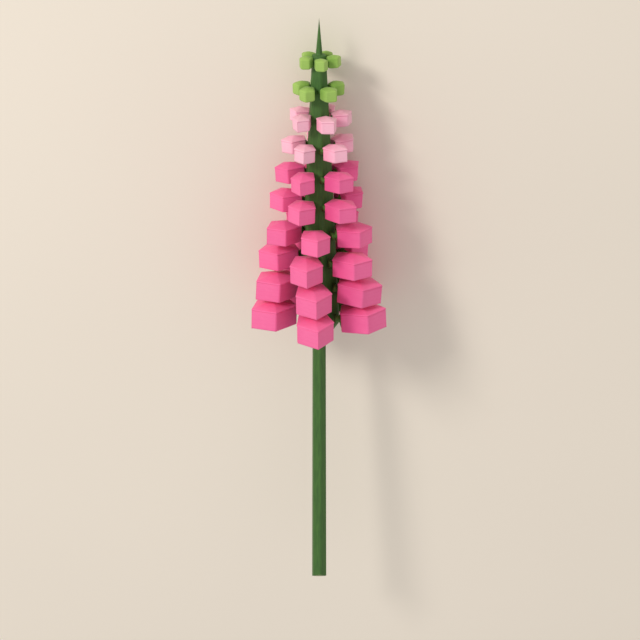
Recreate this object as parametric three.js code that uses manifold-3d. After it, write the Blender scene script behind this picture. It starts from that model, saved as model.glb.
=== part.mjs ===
// A cut lupin flower spike, lying on its back on a surface.
// Millimetres and degrees. The spike is drawn upright in its own frame, with +Y from the cut end to the
// tip and +Z towards its best side, and is then rolled, leaned and set down on the plane Z = 0.

import * as THREE from "three";
import { mergeVertices } from "three/addons/utils/BufferGeometryUtils.js";
import Module from "manifold-3d";

const wasm = await Module();
wasm.setup();

// ---- Driving dimensions ----

const SEED = 11;

// The whorls from the tip down: green buds, just opening, then in full colour.
const KINDS = [
  { name: "bud_whorl", whorls: 2, look: { color: 0x9dc262, roughness: 0.7 } },
  { name: "pale_whorl", whorls: 2, look: { color: 0xffc4d6, roughness: 0.65 } },
  { name: "pink_whorl", whorls: 6, look: { color: 0xfb78b0, roughness: 0.65 } },
];
const LEAF_GREEN = { color: 0x46702f, roughness: 0.75 };

const WHORLS = KINDS.reduce((sum, kind) => sum + kind.whorls, 0);
const FLORETS = 5; // in each whorl
const WHORL_STEP = 18.4; // from one whorl to the next along the stem
const LOWEST_WHORL = 204; // height of the lowest whorl above the cut end
const TOP_WHORL = LOWEST_WHORL + (WHORLS - 1) * WHORL_STEP;

// Turn of each whorl's foremost floret about the stem, from the top whorl down.
const WHORL_TURNS = [9, -37, -52, -32, -31, -31, -5, -19, -10, -6];

// A floret grows from the first size, in the top whorl, to the second, in the lowest.
const FLORET = {
  centre: [8.8, 29.8], // from the stem's axis to the floret's middle
  reach: [5.0, 16.4], // from its middle out to its nose
  half_width: [4.5, 13.0],
  half_band: [3.0, 6.7], // half the height of its upright faces
  crown: [4.4, 10.2], // from its middle up to its peak
  foot: [4.2, 9.7], // from its middle down to its lower peak
};
const FLORET_SIDES = 5;
const SPIN = 22; // turn of every floret about itself, so that its nose points a little to one side
const JITTER = { turn: 2, spin: 7, nod: 4, size: 0.03 }; // degrees, and a share of the size

const STEM_SIDES = 6;
const STEM = {
  cut: 5.2, // radius at the cut end
  neck: 4.6, // radius of the stalk just below the flowers
  swell: 14.0, // radius of the axis inside the lowest whorl
  crest: 4.6, // radius of the axis at its blunt top
  tip: 2.2, // radius at the foot of the pointed tip
};
const NECK_BELOW = 20; // the stalk starts to swell this far below the lowest whorl
const CREST_ABOVE = 4; // the axis ends this far above the top whorl
const TIP_LENGTH = 23;
const CUT_SLANT = 35;

const GAP = 0.3; // between neighbours that touch
const COLLAR = 1.8; // thickness of the ring in which the roots of a whorl's florets meet

const ROLL = 3; // about the stem
const LEAN = 5.4; // tip down
const PRESSED = 1.3; // how far the lowest florets are pressed flat

// ---- Helpers ----

const rad = THREE.MathUtils.degToRad;

/** Seeded random numbers between -1 and 1. */
function drawsFrom(seed) {
  let state = seed;
  return () => {
    state = (state * 1664525 + 1013904223) % 4294967296;
    return (state / 4294967296) * 2 - 1;
  };
}

/** A closed three.js geometry as a manifold-3d solid. */
function solidOf(geometry) {
  const bare = new THREE.BufferGeometry();
  bare.setAttribute("position", geometry.getAttribute("position"));
  if (geometry.index) bare.setIndex(geometry.index);
  const merged = mergeVertices(bare, 1e-4);
  return new wasm.Manifold(
    new wasm.Mesh({
      numProp: 3,
      vertProperties: new Float32Array(merged.attributes.position.array),
      triVerts: new Uint32Array(merged.index.array),
    }),
  );
}

/** A solid as a flat-shaded mesh of its own. */
function meshOf(name, solid, look) {
  const made = solid.getMesh();
  const geometry = new THREE.BufferGeometry();
  geometry.setAttribute("position", new THREE.BufferAttribute(made.vertProperties, 3));
  geometry.setIndex(new THREE.BufferAttribute(made.triVerts, 1));
  const material = new THREE.MeshStandardMaterial({ ...look, metalness: 0, flatShading: true });
  const mesh = new THREE.Mesh(geometry, material);
  mesh.name = name;
  return mesh;
}

/** Height of a whorl above the cut end; 0 is the top whorl. */
function whorlHeight(whorl) {
  return TOP_WHORL - whorl * WHORL_STEP;
}

/** Radius of the flower axis at a height above the cut end. */
function axisRadius(height) {
  const down = (TOP_WHORL + CREST_ABOVE - height) / (TOP_WHORL + CREST_ABOVE - LOWEST_WHORL);
  return THREE.MathUtils.lerp(STEM.crest, STEM.swell, down);
}

/** The sizes of the florets in a whorl. */
function floretSizes(whorl) {
  const age = whorl / (WHORLS - 1);
  const sizes = {};
  for (const [key, [young, old]] of Object.entries(FLORET)) {
    sizes[key] = THREE.MathUtils.lerp(young, old, age);
  }
  return sizes;
}

// ---- Pieces, upright ----

/** Stalk, flower axis and pointed tip, as one six-sided piece. With grow, a little fatter. */
function stemGeometry(grow = 0) {
  const crest = TOP_WHORL + CREST_ABOVE;
  const profile = [
    [0, 0],
    [STEM.cut + grow, 0],
    [STEM.neck + grow, LOWEST_WHORL - NECK_BELOW],
    [STEM.swell + grow, LOWEST_WHORL - NECK_BELOW / 3],
    [STEM.crest + grow, crest],
    [STEM.tip + grow, crest + grow],
    [0, crest + TIP_LENGTH],
  ];
  const points = profile.map(([r, y]) => new THREE.Vector2(r, y));
  return new THREE.LatheGeometry(points, STEM_SIDES, rad(12));
}

/** A floret's faceted body: a band of upright faces with a ridge at the nose, and two peaks. */
function floretBody(size) {
  const { reach, half_width, half_band, crown, foot } = size;
  const points = [[0, crown, 0]];
  for (const y of [half_band, -half_band]) {
    for (let side = 0; side < FLORET_SIDES; side++) {
      const angle = (side * 2 * Math.PI) / FLORET_SIDES;
      points.push([half_width * Math.sin(angle), y, reach * Math.cos(angle)]);
    }
  }
  points.push([0, -foot, 0]);
  const faces = [];
  for (let side = 0; side < FLORET_SIDES; side++) {
    const a = 1 + side;
    const b = 1 + ((side + 1) % FLORET_SIDES);
    const c = a + FLORET_SIDES;
    const d = b + FLORET_SIDES;
    faces.push(0, a, b, a, c, b, b, c, d, c, points.length - 1, d);
  }
  const geometry = new THREE.BufferGeometry();
  geometry.setAttribute("position", new THREE.Float32BufferAttribute(points.flat(), 3));
  geometry.setIndex(faces);
  return geometry;
}

/** A floret's root: a tapered neck along +Z from the stem's axis to the body. */
function floretRoot(size, axis) {
  const length = size.centre - size.reach / 3;
  const base = (axis + GAP + COLLAR) * Math.sin(Math.PI / FLORETS) * 1.1;
  const geometry = new THREE.CylinderGeometry(base * 0.8, base, length, 6);
  geometry.scale(1, 1, 0.55);
  geometry.rotateX(Math.PI / 2);
  geometry.translate(0, 0, length / 2);
  return geometry;
}

/** The geometries of one whorl's florets, each body and each root, where they grow. */
function whorlGeometries(whorl, draw, grow = 0) {
  const height = whorlHeight(whorl);
  const typical = floretSizes(whorl);
  const pieces = [];
  for (let n = 0; n < FLORETS; n++) {
    const size = {};
    const scale = 1 + JITTER.size * draw();
    for (const key of Object.keys(typical)) size[key] = typical[key] * scale + grow;
    size.centre = typical.centre;
    const body = floretBody(size);
    body.rotateY(rad(SPIN + JITTER.spin * draw()));
    body.rotateX(rad(JITTER.nod * draw()));
    body.translate(0, 0, size.centre);
    const turn = WHORL_TURNS[whorl] + (n * 360) / FLORETS + JITTER.turn * draw();
    for (const piece of [body, floretRoot(size, axisRadius(height))]) {
      piece.rotateY(rad(turn));
      piece.translate(0, height, 0);
      pieces.push(piece);
    }
  }
  return pieces;
}

// ---- Lying down ----

const laid = new THREE.Matrix4()
  .makeRotationX(rad(-LEAN))
  .multiply(new THREE.Matrix4().makeRotationY(rad(ROLL)));

/** Every whorl's geometries, laid down; the draws are the same for the same grow or not. */
function laidWhorls(grow = 0) {
  const draw = drawsFrom(SEED);
  const whorls = [];
  for (let whorl = 0; whorl < WHORLS; whorl++) {
    whorls.push(whorlGeometries(whorl, draw, grow).map((piece) => piece.applyMatrix4(laid)));
  }
  return whorls;
}

function lowestPoint(geometries) {
  return Math.min(
    ...geometries.map((geometry) => {
      geometry.computeBoundingBox();
      return geometry.boundingBox.min.z;
    }),
  );
}

const whorls = laidWhorls();
const grownWhorls = laidWhorls(GAP);
const lift = -lowestPoint(whorls.flat()) - PRESSED;
for (const piece of [...whorls.flat(), ...grownWhorls.flat()]) piece.translate(0, 0, lift);

/** Closed geometries fused into one solid. */
function union(geometries) {
  return geometries.map(solidOf).reduce((sum, next) => sum.add(next));
}

/** The laid stem as a solid. With grow, a little fatter. */
function laidStem(grow = 0) {
  return solidOf(stemGeometry(grow).applyMatrix4(laid).translate(0, 0, lift));
}

/** What lies below the surface, to be cut away where petals are pressed flat. */
const underfoot = solidOf(new THREE.BoxGeometry(200, 900, 40).translate(0, 200, -20));

/** What the slanting knife cut takes off the foot of the stalk. */
function cutOff() {
  const block = new THREE.BoxGeometry(60, 40, 60).translate(0, -20, 0);
  block.rotateX(rad(-CUT_SLANT)).translate(0, STEM.cut, 0);
  return solidOf(block.applyMatrix4(laid).translate(0, 0, lift));
}

/** A whorl as one solid, clear of the stem, of the surface below and of the whorl above it. */
function whorlSolid(whorl, bore) {
  const solid = union(whorls[whorl]).subtract(bore).subtract(underfoot);
  return whorl === 0 ? solid : solid.subtract(union(grownWhorls[whorl - 1]));
}

// ---- Assembly ----

const head = new THREE.Group();
const bore = laidStem(GAP);
let whorl = 0;
for (const { name, whorls: count, look } of KINDS) {
  const part = new THREE.Group();
  for (let n = 1; n <= count; n++) {
    part.add(meshOf(name + "_" + n, whorlSolid(whorl, bore), look));
    whorl += 1;
  }
  head.add(part);
}

const lupin = new THREE.Group();
lupin.add(head, meshOf("stem", laidStem().subtract(cutOff()), LEAF_GREEN));

const middle = new THREE.Box3().setFromObject(lupin).getCenter(new THREE.Vector3());
for (const part of lupin.children) part.position.set(-middle.x, -middle.y, 0);

export default lupin;
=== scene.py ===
"""A cut lupin flower spike on a pale surface: its stem, buds, florets and calyxes, and the stage.

The spike is drawn upright in a frame of its own, with +Y from the cut end to the tip and +Z towards
its best side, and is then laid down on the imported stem. Lengths are in metres.
"""

import random
from math import cos, pi, radians, sin

import bmesh
import bpy
from bpy.props import (
    FloatProperty,
    FloatVectorProperty,
    IntProperty,
    PointerProperty,
)
from mathutils import Matrix, Vector


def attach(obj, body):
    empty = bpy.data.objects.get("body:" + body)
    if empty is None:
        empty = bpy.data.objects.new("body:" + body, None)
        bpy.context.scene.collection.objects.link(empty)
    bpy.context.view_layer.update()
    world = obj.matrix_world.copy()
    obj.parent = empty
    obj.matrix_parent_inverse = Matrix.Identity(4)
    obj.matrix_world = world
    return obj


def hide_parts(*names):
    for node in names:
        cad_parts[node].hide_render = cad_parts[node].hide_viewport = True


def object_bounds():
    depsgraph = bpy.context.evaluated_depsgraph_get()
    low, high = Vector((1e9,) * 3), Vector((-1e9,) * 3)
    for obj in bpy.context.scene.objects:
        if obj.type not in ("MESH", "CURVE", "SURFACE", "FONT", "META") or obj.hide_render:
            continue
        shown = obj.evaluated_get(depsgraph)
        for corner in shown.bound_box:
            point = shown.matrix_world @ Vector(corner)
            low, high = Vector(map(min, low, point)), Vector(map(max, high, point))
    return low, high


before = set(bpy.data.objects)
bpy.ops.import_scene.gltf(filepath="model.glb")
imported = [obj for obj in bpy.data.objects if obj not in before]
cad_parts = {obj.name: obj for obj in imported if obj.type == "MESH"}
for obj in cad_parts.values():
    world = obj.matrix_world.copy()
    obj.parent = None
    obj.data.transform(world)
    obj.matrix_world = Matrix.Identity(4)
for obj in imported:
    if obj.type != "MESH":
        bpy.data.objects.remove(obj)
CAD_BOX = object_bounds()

bl_info = {
    "name": "Lupin flower spike",
    "version": (1, 0, 0),
    "blender": (4, 5, 0),
    "location": "View3D > Sidebar > Lupin",
    "description": "Builds a cut lupin spike with faceted florets on its packed solids",
    "category": "Add Mesh",
}

MM = 0.001

FLORET_SIDES = 5
BUD_STEPS = 4  # flats that round a bud's soft edge
PETAL_STEPS = 3  # the same for a petal
WING_TOP = 0.8  # the wings end this share of the banner's fold below its upper edge
SEAM_REACH = 2.5  # a seam's own soft edge ends within this many seam widths of the floret's middle
MERGE_WITHIN = 0.001 * MM  # points as near as this become one

CALYX_POINTS = 10  # five teeth and the notches between them
CALYX_THICK = 0.45 * MM
SHORTEST_STALK = 2 * MM  # of a flower, from the axis to its calyx
STALK_ROOT = 1.5 * MM  # how deep it is rooted in the axis

STEM_SIDES = 6
STEM_TWIST = radians(12)  # turn of its flat sides about the axis
STEM_RING = 3 * MM  # from one ring of the stem to the next
CORNER_ROUND = 0.975  # the stem's corners end at this share of its radius
RIBS_A_SIDE = 8
RIB_DEPTH = 0.008  # as a share of the radius
SKIN_THICK = 0.5 * MM  # at the cut end
PITH_RIM = 0.3 * MM  # width of the slope from the skin down to the pith
PITH_HOLLOW = 0.35 * MM
STREAK_LENGTH = 16  # the green streaks' length, as a multiple of their width

MOTTLE = 0.5  # how much the petals' mottle shifts the depth of their colour
VEIN_ROOT = 1.8  # the veins meet this far behind a floret's middle, as a multiple of its reach
VEIN_PACE = 60.0  # turn of the veins' wave for each radian of their fan, in radians
VEIN_WOBBLE = 0.05  # how far the mottle bends the veins, in radians
VEIN_COLOUR = 0.06
VEIN_RELIEF = 0.35  # against the skin's grain
TONE_SPREAD = 0.035  # how much lighter or darker a floret's own tone is
FLOOR_MOTTLE = 0.975  # the floor's darker clouds, as a share of its colour

FLOOR_HALF = 4.0  # from the floor's middle to its sides
NEAREST_SEEN = 0.05  # from the camera
KEY_FROM = (-0.62, 0.55, 0.60)  # direction of the main light, in the upright spike's frame

# The small irregularities' random numbers: each is the last times the factor, plus the step.
DRAW_FACTOR = 1664525
DRAW_STEP = 1013904223
DRAW_RANGE = 2**32

# Node, material slot, and how far the florets are open, from the tip of the spike down.
WHORLS = (
    ("bud_whorl_1", "bud_green", "bud"),
    ("bud_whorl_2", "bud_green", "bud"),
    ("pale_whorl_1", "pale_pink", "opening"),
    ("pale_whorl_2", "pale_pink", "opening"),
    ("pink_whorl_1", "pink", "open"),
    ("pink_whorl_2", "pink", "open"),
    ("pink_whorl_3", "pink", "open"),
    ("pink_whorl_4", "pink", "open"),
    ("pink_whorl_5", "pink", "open"),
    ("pink_whorl_6", "pink", "open"),
)

# Turn of each whorl's foremost floret about the stem, in degrees, from the top whorl down.
WHORL_TURNS = (9, -37, -52, -32, -31, -31, -5, -19, -10, -6)


# ---- Settings ----


def length(name, description, default):
    """A length that a user can change."""
    return FloatProperty(name=name, description=description, default=default, min=0, unit="LENGTH")


def lengths(name, description, default):
    """A length in the top whorl and in the lowest, between which the florets grow."""
    return FloatVectorProperty(name=name, description=description, default=default, size=2, unit="LENGTH")


def share(name, description, default):
    """A share, from 0 to 1, that a user can change."""
    return FloatProperty(name=name, description=description, default=default, min=0, max=1, subtype="FACTOR")


def strength(name, description, default, **unit):
    """A strength of light that a user can change."""
    return FloatProperty(name=name, description=description, default=default, min=0, **unit)


def angle(name, description, degrees):
    """An angle that a user can change."""
    return FloatProperty(name=name, description=description, default=radians(degrees), subtype="ANGLE")


def colour(name, description, hex_code):
    """A colour that a user can change, given as an sRGB hex code."""
    channels = [int(hex_code[i : i + 2], 16) / 255 for i in (0, 2, 4)]
    linear = [c / 12.92 if c <= 0.04045 else ((c + 0.055) / 1.055) ** 2.4 for c in channels]
    limits = {"size": 3, "min": 0, "max": 1}
    return FloatVectorProperty(name=name, description=description, default=linear, subtype="COLOR", **limits)


class LupinSpikeSettings(bpy.types.PropertyGroup):
    """How the whorls stand along the stem, and how the spike lies."""

    seed: IntProperty(name="Seed", description="Start of the small irregularities", default=11)
    florets: IntProperty(name="Florets", description="Florets in each whorl", default=5, min=3)
    whorl_step: length("Whorl step", "From one whorl to the next", 18.4 * MM)
    lowest_whorl: length("Lowest whorl", "Height of the lowest whorl above the cut end", 204 * MM)
    roll: angle("Roll", "Turn of the laid spike about its stem", 3)
    lean: angle("Lean", "How far the laid spike's tip points down", 5.4)


class LupinFloretSettings(bpy.types.PropertyGroup):
    """Sizes of a floret, in the top whorl and in the lowest."""

    centre: lengths("Centre", "From the stem's axis to the floret's middle", (8.8 * MM, 29.8 * MM))
    reach: lengths("Reach", "From the floret's middle out to its nose", (5.0 * MM, 16.4 * MM))
    half_width: lengths("Half width", "From the floret's middle to its side", (4.5 * MM, 13.0 * MM))
    half_band: lengths("Half band", "Half the height of its upright faces", (3.0 * MM, 6.7 * MM))
    crown: lengths("Crown", "From its middle up to its peak", (4.4 * MM, 10.2 * MM))
    foot: lengths("Foot", "From its middle down to its lower peak", (4.2 * MM, 9.7 * MM))
    spin: angle("Spin", "Turn of every floret about itself, its nose a little to one side", 22)
    turn_jitter: angle("Turn jitter", "Irregular turn about the stem", 2)
    spin_jitter: angle("Spin jitter", "Irregular turn of a floret about itself", 7)
    nod_jitter: angle("Nod jitter", "Irregular tilt of a floret", 4)
    size_jitter: share("Size jitter", "Irregular share of its size", 0.03)


class LupinPetalSettings(bpy.types.PropertyGroup):
    """Fine shape and colour of the petals, buds and calyxes."""

    edge: share("Edge", "Soft edge of an open floret, as a share of its half width", 0.075)
    opening_edge: share("Opening edge", "The same for one that is just opening", 0.14)
    bud_edge: share("Bud edge", "The same for a bud", 0.16)
    lip: length("Lip", "How far the banner stands over the wings", 0.35 * MM)
    skirt: length("Skirt", "How far the banner's rim folds down", 0.9 * MM)
    seam: length("Seam", "Width of the seam between the two wings, and of its own soft edge", 0.1 * MM)
    groove: length("Groove", "Depth of the groove between the wings", 0.25 * MM)
    pink: colour("Pink", "Petals in full colour", "FB74AB")
    pink_deep: colour("Deep pink", "Petals near their root", "EC5A99")
    pale: colour("Pale pink", "Petals that are just opening", "FFC3D8")
    pale_deep: colour("Deep pale pink", "Opening petals near their root", "F8A9C6")
    bud: colour("Bud green", "Buds", "A2C765")
    bud_deep: colour("Deep bud green", "Buds near their root", "84AE4B")
    calyx: colour("Calyx green", "Calyxes and flower stalks", "5B8A3A")


class LupinStemSettings(bpy.types.PropertyGroup):
    """Stalk, flower axis and pointed tip."""

    cut: length("Cut radius", "Radius at the cut end", 5.2 * MM)
    neck: length("Neck radius", "Radius of the stalk just below the flowers", 4.6 * MM)
    swell: length("Swell radius", "Radius of the axis inside the lowest whorl", 14.0 * MM)
    crest: length("Crest radius", "Radius of the axis at its blunt top", 4.6 * MM)
    tip: length("Tip radius", "Radius at the foot of the pointed tip", 2.2 * MM)
    neck_below: length("Neck below", "The stalk swells from this far below the lowest whorl", 20 * MM)
    crest_above: length("Crest above", "The axis ends this far above the top whorl", 4 * MM)
    tip_length: length("Tip length", "Length of the pointed tip", 23 * MM)
    slant: angle("Slant", "Slant of the cut", 35)
    green: colour("Stem green", "Skin of the stem", "4A7535")
    green_deep: colour("Deep stem green", "Furrows of the stem", "3A602E")
    pith: colour("Pith", "Heart of the cut end", "D5DDA6")


class LupinStageSettings(bpy.types.PropertyGroup):
    """Camera, light and floor."""

    camera_height: length("Camera height", "Along the spike from its cut end", 0.729)
    camera_front: length("Camera front", "Out from the spike's best side", 1.169)
    view_angle: angle("View angle", "Field of view", 18.2)
    key_power: strength("Key light", "Power of the main light", 22.6, unit="POWER")
    key_distance: length("Key distance", "From the spike's middle to the main light", 2.2)
    key_size: length("Key size", "Width of the main light", 0.5)
    key_tint: colour("Key tint", "Colour of the main light", "FFFAF3")
    sky: strength("Sky", "Strength of the light from all round", 0.62)
    floor: colour("Floor", "Colour of the surface", "F4ECDF")
    light: colour("Light", "Colour of the light from all round", "FFFBF8")


def settings():
    """The scene's settings, as spike, floret, petal, stem and stage."""
    scene = bpy.context.scene
    return scene.lupin_spike, scene.lupin_floret, scene.lupin_petal, scene.lupin_stem, scene.lupin_stage


# ---- Places ----


def whorl_height(spike, whorl):
    """Height of a whorl above the cut end; 0 is the top whorl."""
    return spike.lowest_whorl + (len(WHORLS) - 1 - whorl) * spike.whorl_step


def crest_height(spike, stem):
    """Height of the flower axis's blunt top."""
    return whorl_height(spike, 0) + stem.crest_above


def axis_radius(spike, stem, height):
    """Radius of the flower axis at a height above the cut end."""
    crest = crest_height(spike, stem)
    down = (crest - height) / (crest - spike.lowest_whorl)
    return stem.crest + (stem.swell - stem.crest) * down


def laid(spike, stem):
    """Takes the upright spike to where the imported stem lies, by its angles and the point of its tip."""
    turned = Matrix.Rotation(-spike.lean, 4, "X") @ Matrix.Rotation(spike.roll, 4, "Y")
    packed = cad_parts["stem"].data.vertices
    point = max((vertex.co for vertex in packed), key=lambda co: co.y)
    drawn = turned @ Vector((0, crest_height(spike, stem) + stem.tip_length, 0))
    return Matrix.Translation(point - drawn) @ turned


def draws_from(seed):
    """Seeded random numbers between -1 and 1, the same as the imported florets' own."""
    state = seed
    while True:
        state = (state * DRAW_FACTOR + DRAW_STEP) % DRAW_RANGE
        yield state / DRAW_RANGE * 2 - 1


class Floret:
    """One floret's sizes, and the matrix that places it on the upright spike."""

    SIZES = ("reach", "half_width", "half_band", "crown", "foot")

    def __init__(self, whorl, number, draw):
        spike, sizes, _, stem, _ = settings()
        age = whorl / (len(WHORLS) - 1)
        scale = 1 + sizes.size_jitter * next(draw)

        def grown(key):
            young, old = getattr(sizes, key)
            return young + (old - young) * age

        self.centre = grown("centre")
        for key in self.SIZES:
            setattr(self, key, grown(key) * scale)
        spin = sizes.spin + sizes.spin_jitter * next(draw)
        nod = sizes.nod_jitter * next(draw)
        turn = radians(WHORL_TURNS[whorl]) + number * 2 * pi / spike.florets + sizes.turn_jitter * next(draw)
        height = whorl_height(spike, whorl)
        self.root = axis_radius(spike, stem, height) - self.centre
        self.place = (
            Matrix.Translation((0, height, 0))
            @ Matrix.Rotation(turn, 4, "Y")
            @ Matrix.Translation((0, 0, self.centre))
            @ Matrix.Rotation(nod, 4, "X")
            @ Matrix.Rotation(spin, 4, "Y")
        )

    def corner(self, side, height, spread=0.0):
        """A corner of the floret's five-sided outline; side 0 is the nose."""
        turn = side * 2 * pi / FLORET_SIDES
        return Vector(((self.half_width + spread) * sin(turn), height, (self.reach + spread) * cos(turn)))


def all_florets():
    """Every floret, as one list for each whorl from the top down."""
    spike = settings()[0]
    draw = draws_from(spike.seed)
    return [[Floret(whorl, n, draw) for n in range(spike.florets)] for whorl in range(len(WHORLS))]


# ---- Meshes ----


def solid(points, faces):
    """A bmesh of a closed solid from its points and faces."""
    mesh = bmesh.new()
    made = [mesh.verts.new(point) for point in points]
    for face in faces:
        mesh.faces.new([made[i] for i in face])
    bmesh.ops.recalc_face_normals(mesh, faces=mesh.faces)
    return mesh


def soften(mesh, edge, steps, seam=None):
    """Rounds the edges of a solid, and those that lie in the seam of a floret's two halves far less."""
    in_seam = [e for e in mesh.edges if seam and all(abs(vertex.co.x) < seam for vertex in e.verts)]
    others = [e for e in mesh.edges if e not in in_seam]
    how = {"profile": 0.5, "affect": "EDGES", "clamp_overlap": True}
    if in_seam:
        bmesh.ops.bevel(mesh, geom=in_seam, offset=seam, segments=1, **how)
        reach = SEAM_REACH * seam
        others = [e for e in mesh.edges if not all(abs(vertex.co.x) < reach for vertex in e.verts)]
    bmesh.ops.bevel(mesh, geom=others, offset=edge, segments=steps, **how)
    bmesh.ops.remove_doubles(mesh, verts=mesh.verts, dist=MERGE_WITHIN)


def note_place(mesh, floret, tone):
    """Keeps each point's place in its floret, from -1 to 1 each way, and the floret's own tone."""
    place = mesh.verts.layers.float_vector.new("place")
    tones = mesh.verts.layers.float.new("tone")
    for vertex in mesh.verts:
        x, y, z = vertex.co
        vertex[place] = (x / floret.half_width, y / floret.crown, z / floret.reach)
        vertex[tones] = tone


def press_flat(mesh):
    """Cuts a closed solid off level with the surface it rests on."""
    if min(vertex.co.z for vertex in mesh.verts) >= 0:
        return
    geometry = mesh.verts[:] + mesh.edges[:] + mesh.faces[:]
    bmesh.ops.bisect_plane(mesh, geom=geometry, plane_co=(0, 0, 0), plane_no=(0, 0, 1), clear_inner=True)
    bmesh.ops.holes_fill(mesh, edges=[edge for edge in mesh.edges if edge.is_boundary])


def gather(whole, part):
    """Adds a finished solid to a larger mesh."""
    holder = bpy.data.meshes.new("holder")
    part.to_mesh(holder)
    part.free()
    whole.from_mesh(holder)
    bpy.data.meshes.remove(holder)


def piece_of(name, whole, materials, slot, node):
    """Makes a piece from a bmesh, with its materials, to stand for its CAD node; its slot argument is not
    used.
    """
    mesh = bpy.data.meshes.new(name)
    whole.to_mesh(mesh)
    whole.free()
    mesh.polygons.foreach_set("use_smooth", [True] * len(mesh.polygons))
    for material in materials:
        mesh.materials.append(material)
    piece = bpy.data.objects.new(name, mesh)
    bpy.context.scene.collection.objects.link(piece)
    normals = piece.modifiers.new("flat_facets", "WEIGHTED_NORMAL")
    normals.weight = 100
    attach(piece, "root")
    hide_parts(node)
    return piece


# ---- Materials ----


def material_with(name, roughness):
    """A new material's shader, and the functions that add nodes, maths and links to it."""
    material = bpy.data.materials.new(name)
    material.use_nodes = True
    tree = material.node_tree
    shader = next(node for node in tree.nodes if node.type == "BSDF_PRINCIPLED")
    shader.inputs["Roughness"].default_value = roughness

    def add(kind, **values):
        node = tree.nodes.new(kind)
        for key, value in values.items():
            if key in node.inputs:
                node.inputs[key].default_value = value
            else:
                setattr(node, key, value)
        return node

    def maths(operation, *values):
        """The result of a maths node on the given sockets and plain numbers."""
        node = add("ShaderNodeMath", operation=operation)
        for socket, value in zip(node.inputs, values):
            if isinstance(value, bpy.types.NodeSocket):
                tree.links.new(value, socket)
            else:
                socket.default_value = value
        return node.outputs["Value"]

    return material, shader, add, maths, tree.links.new


def rgba(colour_value):
    """A colour property as the four channels that a socket takes."""
    return (*colour_value, 1.0)


def ramp(add, stops):
    """A colour ramp with the given (position, rgba) stops."""
    node = add("ShaderNodeValToRGB")
    elements = node.color_ramp.elements
    while len(elements) < len(stops):
        elements.new(0.5)
    for element, (position, value) in zip(elements, stops):
        element.position = position
        element.color = value
    return node


def petal_material(name, fresh, deep):
    """Matt petal: deeper towards the root, faint veins that fan out to the nose, and a tone of its own."""
    material, shader, add, maths, link = material_with(name, 0.62)
    shader.inputs["Sheen Weight"].default_value = 0.12
    shader.inputs["Sheen Roughness"].default_value = 0.45
    shader.inputs["Specular IOR Level"].default_value = 0.3

    place = add("ShaderNodeAttribute", attribute_name="place").outputs["Vector"]
    parts = add("ShaderNodeSeparateXYZ")
    link(place, parts.inputs["Vector"])

    # Deeper colour towards the root.
    depth = add("ShaderNodeMapRange")
    depth.inputs["From Min"].default_value = 0.55
    depth.inputs["From Max"].default_value = -0.75
    link(parts.outputs["Z"], depth.inputs["Value"])
    mottle = add("ShaderNodeTexNoise", Scale=3.2, Detail=4.0, Roughness=0.6)
    link(place, mottle.inputs["Vector"])
    body = ramp(add, [(0.2, rgba(fresh)), (1.0, rgba(deep))])
    link(maths("MULTIPLY_ADD", mottle.outputs["Fac"], MOTTLE, depth.outputs["Result"]), body.inputs["Fac"])

    # Veins: thin lines that fan out from the root.
    fan = maths("ARCTAN2", parts.outputs["Y"], maths("ADD", parts.outputs["Z"], VEIN_ROOT))
    wobble = maths("MULTIPLY_ADD", mottle.outputs["Fac"], VEIN_WOBBLE, fan)
    vein = add("ShaderNodeMapRange")
    vein.inputs["From Min"].default_value = 0.55
    link(maths("SINE", maths("MULTIPLY", wobble, VEIN_PACE)), vein.inputs["Value"])
    veined = add("ShaderNodeMix", data_type="RGBA", blend_type="MULTIPLY")
    amount, under, over = (veined.inputs[n] for n in (0, 6, 7))
    link(maths("MULTIPLY", vein.outputs["Result"], VEIN_COLOUR), amount)
    link(body.outputs["Color"], under)
    over.default_value = rgba(deep)

    # Each floret's own tone.
    tone = add("ShaderNodeAttribute", attribute_name="tone")
    toned = add("ShaderNodeHueSaturation")
    link(maths("MULTIPLY_ADD", tone.outputs["Fac"], TONE_SPREAD, 1.0), toned.inputs["Value"])
    link(veined.outputs[2], toned.inputs["Color"])
    link(toned.outputs["Color"], shader.inputs["Base Color"])

    # Skin: fine grain, with the veins a little raised.
    grain = add("ShaderNodeTexNoise", Scale=30.0, Detail=3.0)
    link(place, grain.inputs["Vector"])
    relief = maths("MULTIPLY_ADD", vein.outputs["Result"], VEIN_RELIEF, grain.outputs["Fac"])
    bump = add("ShaderNodeBump", Strength=0.2, Distance=0.0001)
    link(relief, bump.inputs["Height"])
    link(bump.outputs["Normal"], shader.inputs["Normal"])
    return material


def green_material(name, light, deep, grain_scale):
    """Green skin with fine streaks along the stem."""
    material, shader, add, _, link = material_with(name, 0.55)
    shader.inputs["Specular IOR Level"].default_value = 0.35
    coordinates = add("ShaderNodeTexCoord")
    stretched = add("ShaderNodeMapping")
    stretched.inputs["Scale"].default_value = (grain_scale, grain_scale / STREAK_LENGTH, grain_scale)
    link(coordinates.outputs["Object"], stretched.inputs["Vector"])
    streaks = add("ShaderNodeTexNoise", Scale=1.0, Detail=5.0, Roughness=0.65)
    link(stretched.outputs["Vector"], streaks.inputs["Vector"])
    colours = ramp(add, [(0.3, rgba(deep)), (0.65, rgba(light))])
    link(streaks.outputs["Fac"], colours.inputs["Fac"])
    link(colours.outputs["Color"], shader.inputs["Base Color"])
    shine = add("ShaderNodeMapRange")
    shine.inputs["To Min"].default_value = 0.48
    shine.inputs["To Max"].default_value = 0.68
    link(streaks.outputs["Fac"], shine.inputs["Value"])
    link(shine.outputs["Result"], shader.inputs["Roughness"])
    bump = add("ShaderNodeBump", Strength=0.3, Distance=0.0002)
    link(streaks.outputs["Fac"], bump.inputs["Height"])
    link(bump.outputs["Normal"], shader.inputs["Normal"])
    return material


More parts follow.
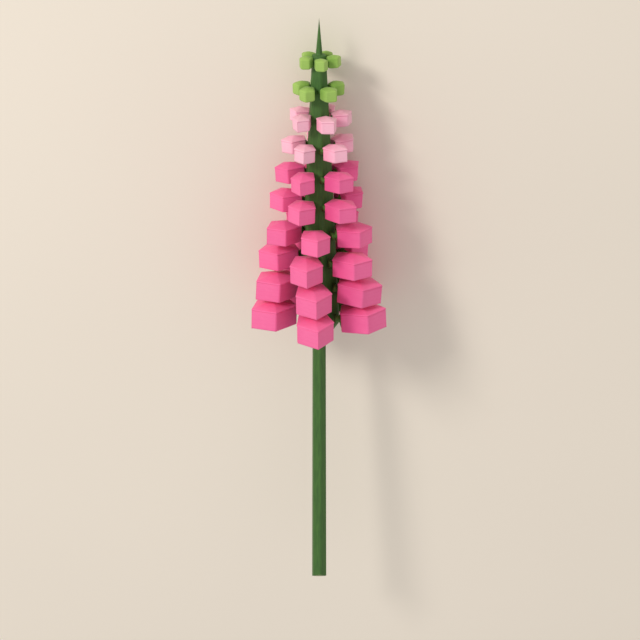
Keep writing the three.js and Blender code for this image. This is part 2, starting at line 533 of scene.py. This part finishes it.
def pith_material(heart, rim):
    """The cut end: pale pith of small cells."""
    material, shader, add, _, link = material_with("cut_pith", 0.8)
    coordinates = add("ShaderNodeTexCoord")
    cells = add("ShaderNodeTexVoronoi", Scale=1800.0)
    link(coordinates.outputs["Object"], cells.inputs["Vector"])
    colours = ramp(add, [(0.0, rgba(rim)), (0.35, rgba(heart))])
    link(cells.outputs["Distance"], colours.inputs["Fac"])
    link(colours.outputs["Color"], shader.inputs["Base Color"])
    bump = add("ShaderNodeBump", Strength=0.4, Distance=0.0002)
    link(cells.outputs["Distance"], bump.inputs["Height"])
    link(bump.outputs["Normal"], shader.inputs["Normal"])
    return material


def floor_material(tint):
    """Plain pale surface, with a trace of unevenness."""
    material, shader, add, _, link = material_with("pale_floor", 0.9)
    shader.inputs["Specular IOR Level"].default_value = 0.15
    coordinates = add("ShaderNodeTexCoord")
    cloud = add("ShaderNodeTexNoise", Scale=2.5, Detail=2.0)
    link(coordinates.outputs["Object"], cloud.inputs["Vector"])
    darker = tuple(channel * FLOOR_MOTTLE for channel in tint)
    colours = ramp(add, [(0.35, rgba(darker)), (0.65, rgba(tint))])
    link(cloud.outputs["Fac"], colours.inputs["Fac"])
    link(colours.outputs["Color"], shader.inputs["Base Color"])
    return material


# ---- Petals ----


def wing(floret, side, petal, top):
    """One wing: half of the floret's upright faces and half of its pointed foot, up to the banner."""
    gap = petal.seam / 2
    points = []
    for height in (top, -floret.half_band):
        nose, cheek, back = (floret.corner(n, height, -petal.lip) for n in range(3))
        middle = Vector((0, height, back.z))
        points += [nose, cheek, back, middle]
    points.append(Vector((0, petal.lip - floret.foot, 0)))
    points = [Vector((side * (point.x + gap), point.y, point.z)) for point in points]
    faces = [(0, 1, 2, 3), (0, 4, 5, 1), (1, 5, 6, 2), (2, 6, 7, 3), (3, 7, 8, 4, 0)]
    faces += [(4, 8, 5), (5, 8, 6), (6, 8, 7)]
    return solid(points, faces)


def five_sided(floret, high, low, crown=None, foot=None, spread=0.0):
    """A five-sided solid between two heights, pointed or flat above and below, grown by a spread."""
    points = []
    for height in (high, low):
        points += [floret.corner(side, height, spread) for side in range(FLORET_SIDES)]
    upper = tuple(range(FLORET_SIDES))
    lower = tuple(side + FLORET_SIDES for side in upper)
    faces = []
    for side in upper:
        beside = (side + 1) % FLORET_SIDES
        faces.append((side, lower[side], lower[beside], beside))
    for ring, peak in ((upper, crown), (lower, foot)):
        if peak is None:
            faces.append(ring)
        else:
            faces += [(corner, ring[(n + 1) % FLORET_SIDES], len(points)) for n, corner in enumerate(ring)]
            points.append(Vector((0, peak, 0)))
    return solid(points, faces)


def keel(floret, petal, top):
    """The keel: the closed inner petals, seen only as the floor of the groove between the wings."""
    inset = petal.lip + petal.groove
    low = petal.groove / 2 - floret.half_band
    return five_sided(floret, top, low, foot=inset - floret.foot, spread=-inset)


def banner(floret, petal):
    """The banner: a faceted roof over both wings, with a thin rim folded down over them."""
    return five_sided(floret, floret.half_band, floret.half_band - petal.skirt, crown=floret.crown)


def bud(floret):
    """A closed bud: the floret's whole faceted body."""
    return five_sided(floret, floret.half_band, -floret.half_band, crown=floret.crown, foot=-floret.foot)


def petals_of(floret, opened, petal):
    """The solids of one floret, softened, in the floret's own frame."""
    shares = {"bud": petal.bud_edge, "opening": petal.opening_edge, "open": petal.edge}
    edge = shares[opened] * floret.half_width
    if opened == "bud":
        whole = bud(floret)
        soften(whole, edge, BUD_STEPS)
        return [whole]
    top = floret.half_band - petal.skirt * WING_TOP
    wings = [wing(floret, side, petal, top) for side in (1, -1)]
    for part in wings:
        soften(part, edge, PETAL_STEPS, seam=petal.seam)
    roof = banner(floret, petal)
    soften(roof, edge, PETAL_STEPS)
    return [*wings, keel(floret, petal, top), roof]


# ---- Calyxes ----


def calyx_of(floret):
    """A floret's green stalk and its calyx, a star of five pointed teeth that holds the floret's back."""
    back = -floret.reach * cos(pi / FLORET_SIDES)
    neck = max(back - floret.root, SHORTEST_STALK)
    foot = back - neck
    thin = 0.13 * floret.half_width + 0.5 * MM
    tooth = min(0.5 * floret.half_width, 0.95 * floret.half_band)
    notch = 0.55 * tooth
    thick = CALYX_THICK
    # From the root out: the distance from the floret's middle, the radius at the teeth and between them.
    outline = [
        (foot - STALK_ROOT, thin * 1.5, thin * 1.5),
        (foot + 0.1 * neck, thin * 1.1, thin * 1.1),
        (foot + 0.5 * neck, thin, thin),
        (back - 0.2 * neck - thick, thin * 1.25, thin * 1.2),
        (back - thick * 0.9, tooth * 0.8, notch * 0.95),
        (back + thick * 0.2, tooth, notch),
        (back + thick, tooth * 0.8, notch * 0.8),
    ]
    points = []
    for out, at_tooth, between in outline:
        for n in range(CALYX_POINTS):
            turn = n * 2 * pi / CALYX_POINTS
            radius = between if n % 2 else at_tooth
            points.append(Vector((radius * sin(turn), radius * cos(turn), out)))
    faces = []
    for level in range(len(outline) - 1):
        for n in range(CALYX_POINTS):
            beside = (n + 1) % CALYX_POINTS
            low = level * CALYX_POINTS
            high = low + CALYX_POINTS
            faces.append((low + n, low + beside, high + beside, high + n))
    faces.append(tuple(range(CALYX_POINTS)))
    faces.append(tuple(range((len(outline) - 1) * CALYX_POINTS, len(points))))
    return solid(points, faces)


# ---- Stem ----


def stem_outline(spike, stem):
    """Heights and radii of the stem from its foot to its point."""
    crest = crest_height(spike, stem)
    neck = spike.lowest_whorl - stem.neck_below
    shoulder = spike.lowest_whorl - stem.neck_below / 3
    return [
        (0.0, stem.cut),
        (neck, stem.neck),
        (shoulder, stem.swell),
        # The crest's edge is rounded, and so is the foot of the tip.
        (crest - 0.4 * MM, stem.crest),
        (crest, stem.crest - 0.5 * MM),
        (crest + 0.1 * MM, stem.tip + 0.4 * MM),
        (crest + 0.5 * MM, stem.tip),
        (crest + stem.tip_length, 0.0),
    ]


def radius_at(outline, height):
    """The outline's radius at a height."""
    for (low, low_radius), (high, high_radius) in zip(outline, outline[1:]):
        if height <= high:
            return low_radius + (high_radius - low_radius) * (height - low) / (high - low)
    return 0.0


def stem_ring(mesh, height, radius):
    """One ring of the stem: six flat sides with softened corners and fine ribs."""
    count = STEM_SIDES * RIBS_A_SIDE
    ring = []
    for n in range(count):
        turn = n * 2 * pi / count
        across = (turn + pi / STEM_SIDES) % (2 * pi / STEM_SIDES) - pi / STEM_SIDES
        flat = radius * cos(pi / STEM_SIDES) / cos(abs(across) - pi / STEM_SIDES)
        rounded = min(flat, radius * CORNER_ROUND)
        rib = RIB_DEPTH * radius * (1 if n % 2 else -1)
        around = turn + STEM_TWIST
        out = rounded + rib
        ring.append(mesh.verts.new((out * sin(around), height, out * cos(around))))
    return ring


def stem_mesh(spike, stem):
    """The whole stem, upright, with its foot cut on the slant and the cut face a little hollow."""
    outline = stem_outline(spike, stem)
    top = outline[-1][0]
    heights = {height for height, _ in outline[:-1]}
    heights |= {STEM_RING * n for n in range(int(top / STEM_RING))}
    mesh = bmesh.new()
    rings = [stem_ring(mesh, height, radius_at(outline, height)) for height in sorted(heights)]
    for below, above in zip(rings, rings[1:]):
        for n in range(len(below)):
            beside = (n + 1) % len(below)
            mesh.faces.new((below[n], below[beside], above[beside], above[n]))
    point = mesh.verts.new((0, top, 0))
    for n in range(len(rings[-1])):
        mesh.faces.new((rings[-1][n], rings[-1][(n + 1) % len(rings[-1])], point))
    mesh.faces.new(rings[0])
    bmesh.ops.recalc_face_normals(mesh, faces=mesh.faces)

    geometry = mesh.verts[:] + mesh.edges[:] + mesh.faces[:]
    keep = Vector((0, cos(stem.slant), -sin(stem.slant)))
    bmesh.ops.bisect_plane(mesh, geom=geometry, plane_co=(0, stem.cut, 0), plane_no=keep, clear_inner=True)
    bmesh.ops.holes_fill(mesh, edges=[edge for edge in mesh.edges if edge.is_boundary])
    face = max(mesh.faces, key=lambda f: f.calc_area())
    bmesh.ops.inset_region(mesh, faces=[face], thickness=SKIN_THICK)
    bmesh.ops.inset_region(mesh, faces=[face], thickness=PITH_RIM, depth=-PITH_HOLLOW)
    face.material_index = 1
    return mesh


# ---- Operators ----


class LUPIN_OT_stem(bpy.types.Operator):
    """Build the six-sided stem, with its slanted cut and its pointed tip"""

    bl_idname = "lupin.stem"
    bl_label = "Stem"

    def execute(self, context):
        spike, _, _, stem, _ = settings()
        mesh = stem_mesh(spike, stem)
        mesh.transform(laid(spike, stem))
        skin = green_material("stem_skin", stem.green, stem.green_deep, grain_scale=900.0)
        pith = pith_material(stem.pith, stem.green)
        piece_of("stem_skin", mesh, [skin, pith], "stem_green", "stem")
        return {"FINISHED"}


class LUPIN_OT_petals(bpy.types.Operator):
    """Build the buds and the petals of every whorl"""

    bl_idname = "lupin.petals"
    bl_label = "Buds and petals"

    def execute(self, context):
        spike, _, petal, stem, _ = settings()
        down = laid(spike, stem)
        tones = random.Random(spike.seed)
        looks = {
            "bud": petal_material("bud_skin", petal.bud, petal.bud_deep),
            "opening": petal_material("pale_petal", petal.pale, petal.pale_deep),
            "open": petal_material("pink_petal", petal.pink, petal.pink_deep),
        }
        for (node, slot, opened), florets in zip(WHORLS, all_florets()):
            whole = bmesh.new()
            for floret in florets:
                tone = tones.uniform(-1, 1)
                for part in petals_of(floret, opened, petal):
                    note_place(part, floret, tone)
                    part.transform(down @ floret.place)
                    press_flat(part)
                    gather(whole, part)
            piece_of(node + "_petals", whole, [looks[opened]], slot, node)
        return {"FINISHED"}


class LUPIN_OT_calyxes(bpy.types.Operator):
    """Build the short green stalk and the toothed calyx of every floret"""

    bl_idname = "lupin.calyxes"
    bl_label = "Calyxes"

    def execute(self, context):
        spike, _, petal, stem, _ = settings()
        down = laid(spike, stem)
        green = green_material("calyx_skin", petal.calyx, stem.green_deep, grain_scale=500.0)
        for (node, _, _), florets in zip(WHORLS, all_florets()):
            whole = bmesh.new()
            for floret in florets:
                part = calyx_of(floret)
                part.transform(down @ floret.place)
                gather(whole, part)
            piece_of(node + "_calyxes", whole, [green], "stem_green", node)
        return {"FINISHED"}


class LUPIN_OT_stage(bpy.types.Operator):
    """Lay the pale floor, and set the camera and the soft light"""

    bl_idname = "lupin.stage"
    bl_label = "Stage"

    def execute(self, context):
        spike, _, _, stem, stage = settings()
        down = laid(spike, stem)
        low, high = CAD_BOX
        middle = (low + high) / 2
        self.floor(stage)
        turned = down.to_3x3()
        place = down @ Vector((0, stage.camera_height, stage.camera_front))
        self.camera(stage, place, middle, turned @ Vector((0, 1, 0)))
        self.light("key", turned @ Vector(KEY_FROM), middle, stage)
        self.sky(stage)
        context.scene.view_settings.view_transform = "Standard"
        return {"FINISHED"}

    def floor(self, stage):
        mesh = bmesh.new()
        bmesh.ops.create_grid(mesh, x_segments=8, y_segments=8, size=FLOOR_HALF)
        data = bpy.data.meshes.new("floor")
        mesh.to_mesh(data)
        mesh.free()
        data.materials.append(floor_material(stage.floor))
        floor = bpy.data.objects.new("floor", data)
        bpy.context.scene.collection.objects.link(floor)

    def camera(self, stage, place, target, upward):
        back = (place - target).normalized()
        right = upward.cross(back).normalized()
        facing = Matrix((right, back.cross(right), back)).transposed()
        data = bpy.data.cameras.new("camera")
        data.angle = stage.view_angle
        data.clip_start = NEAREST_SEEN
        camera = bpy.data.objects.new("camera", data)
        camera.location = place
        camera.rotation_mode = "QUATERNION"
        camera.rotation_quaternion = facing.to_quaternion()
        bpy.context.scene.collection.objects.link(camera)
        bpy.context.scene.camera = camera

    def light(self, name, direction, target, stage):
        data = bpy.data.lights.new(name, "AREA")
        data.energy = stage.key_power
        data.size = stage.key_size
        data.color = stage.key_tint
        light = bpy.data.objects.new(name, data)
        light.location = target + direction.normalized() * stage.key_distance
        light.rotation_mode = "QUATERNION"
        light.rotation_quaternion = (-direction).to_track_quat("-Z", "Y")
        bpy.context.scene.collection.objects.link(light)

    def sky(self, stage):
        world = bpy.data.worlds.new("sky")
        world.use_nodes = True
        background = world.node_tree.nodes["Background"]
        background.inputs["Color"].default_value = rgba(stage.light)
        background.inputs["Strength"].default_value = stage.sky
        bpy.context.scene.world = world


class VIEW3D_PT_lupin(bpy.types.Panel):
    """The lupin's settings and the steps that build it"""

    bl_idname = "VIEW3D_PT_lupin"
    bl_label = "Lupin spike"
    bl_space_type = "VIEW_3D"
    bl_region_type = "UI"
    bl_category = "Lupin"

    def draw(self, context):
        for operator in OPERATORS:
            self.layout.operator(operator.bl_idname)
        for group in settings():
            box = self.layout.box()
            for key in group.bl_rna.properties.keys():
                if key not in ("rna_type", "name"):
                    box.prop(group, key)


OPERATORS = (LUPIN_OT_stem, LUPIN_OT_petals, LUPIN_OT_calyxes, LUPIN_OT_stage)
GROUPS = {
    "lupin_spike": LupinSpikeSettings,
    "lupin_floret": LupinFloretSettings,
    "lupin_petal": LupinPetalSettings,
    "lupin_stem": LupinStemSettings,
    "lupin_stage": LupinStageSettings,
}


def register():
    for key, group in GROUPS.items():
        bpy.utils.register_class(group)
        setattr(bpy.types.Scene, key, PointerProperty(type=group))
    for operator in OPERATORS:
        bpy.utils.register_class(operator)
    bpy.utils.register_class(VIEW3D_PT_lupin)


def unregister():
    bpy.utils.unregister_class(VIEW3D_PT_lupin)
    for operator in reversed(OPERATORS):
        bpy.utils.unregister_class(operator)
    for key, group in reversed(GROUPS.items()):
        delattr(bpy.types.Scene, key)
        bpy.utils.unregister_class(group)


def main():
    register()
    bpy.ops.lupin.stem()
    bpy.ops.lupin.petals()
    bpy.ops.lupin.calyxes()
    bpy.ops.lupin.stage()


if __name__ == "__main__":
    main()
